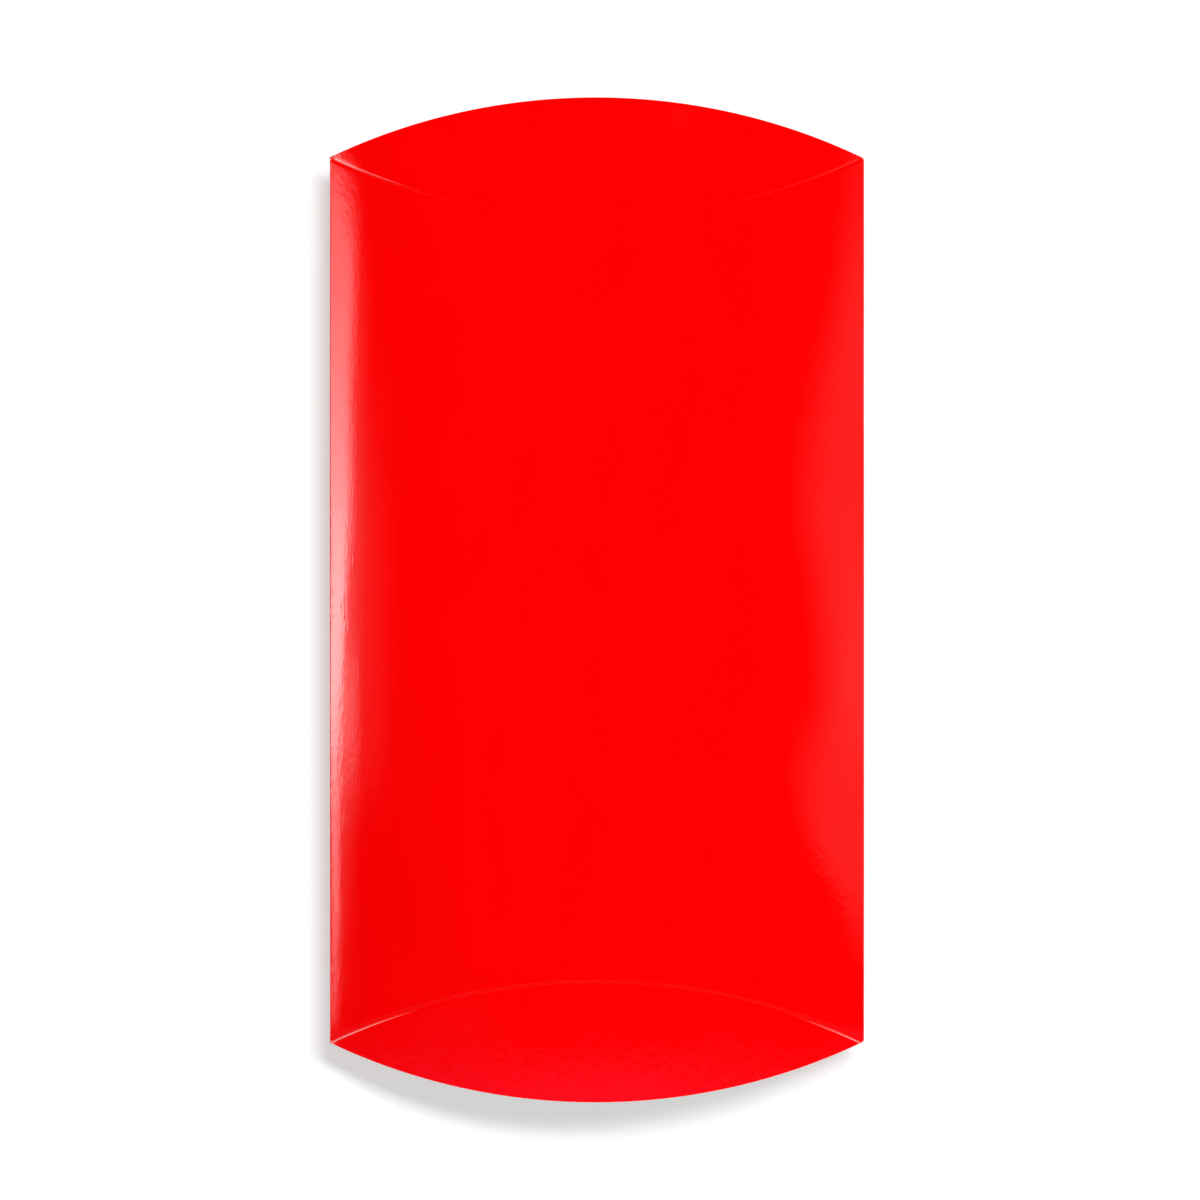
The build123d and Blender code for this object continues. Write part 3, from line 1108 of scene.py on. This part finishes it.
right_box = multiply(tree, add(tree, right_box, patch), fade(tree, slanted_edge, -0.003, 0.003, 0, 1))
print("right panel: from about 40 degrees on, growing to half the strength of white paper")

# %% [markdown]
# ## The lower end and the horizon
#
# Past the bottom end of the box the room is faintly light and a little blue, which tints the lower flap and
# draws a thin line in the gentle wall of its score. It doesn't reach round to the sides. All round, near the
# level of the table, the room is lighter again, and that also gets into the open ends of the box.

# %% The dim light past the lower end
near_bottom = fade(tree, run, -0.0995, -0.0955, 1, 0)
not_too_far = fade(tree, run, -0.45, -0.36, 0, 1)
not_at_sides = fade(tree, calculate(tree, "ABSOLUTE", lean), 60, 72, 1, 0)
below = multiply(tree, near_bottom, not_too_far, not_at_sides)
lower_end = multiply(tree, below, fade(tree, run, -0.2, -0.12, 0.26, 0.32))
blueness = multiply(tree, below, fade(tree, run, -0.15, -0.115, 0, 1))
horizon = fade(tree, ray_z, 0.05, 0.4, 0.5, 0)
print("past the lower end the room has a third of the strength of white paper")

# %% [markdown]
# ## The room for each kind of ray
#
# A ray from the gloss sees the room as it is drawn above. A ray from a matt surface gets an even, dim light
# that is stronger near the horizon, which fills the shadows. The camera, and anything clear, sees plain
# white.

# %% Join up the room
evenly_scattered = 0.262
white, faint_blue = (1, 1, 1, 1), (0.42, 0.36, 1.0, 1)
in_gloss = multiply(tree, ray["Is Glossy Ray"], add(tree, left_box, right_box, lower_end, horizon))
on_matt = multiply(tree, ray["Is Diffuse Ray"], add(tree, horizon, evenly_scattered))
lit = add(tree, in_gloss, on_matt, ray["Is Camera Ray"], ray["Is Transmission Ray"])
lower_tint = blend_colours(tree, blueness, white, faint_blue)
glow = tree.nodes.new("ShaderNodeBackground")
tree.links.new(blend_colours(tree, ray["Is Glossy Ray"], white, lower_tint), glow.inputs["Color"])
tree.links.new(lit, glow.inputs["Strength"])
out = tree.nodes.new("ShaderNodeOutputWorld")
tree.links.new(glow.outputs["Background"], out.inputs["Surface"])
bpy.context.scene.view_settings.view_transform = "Standard"
print("room:", len(tree.nodes), "nodes")
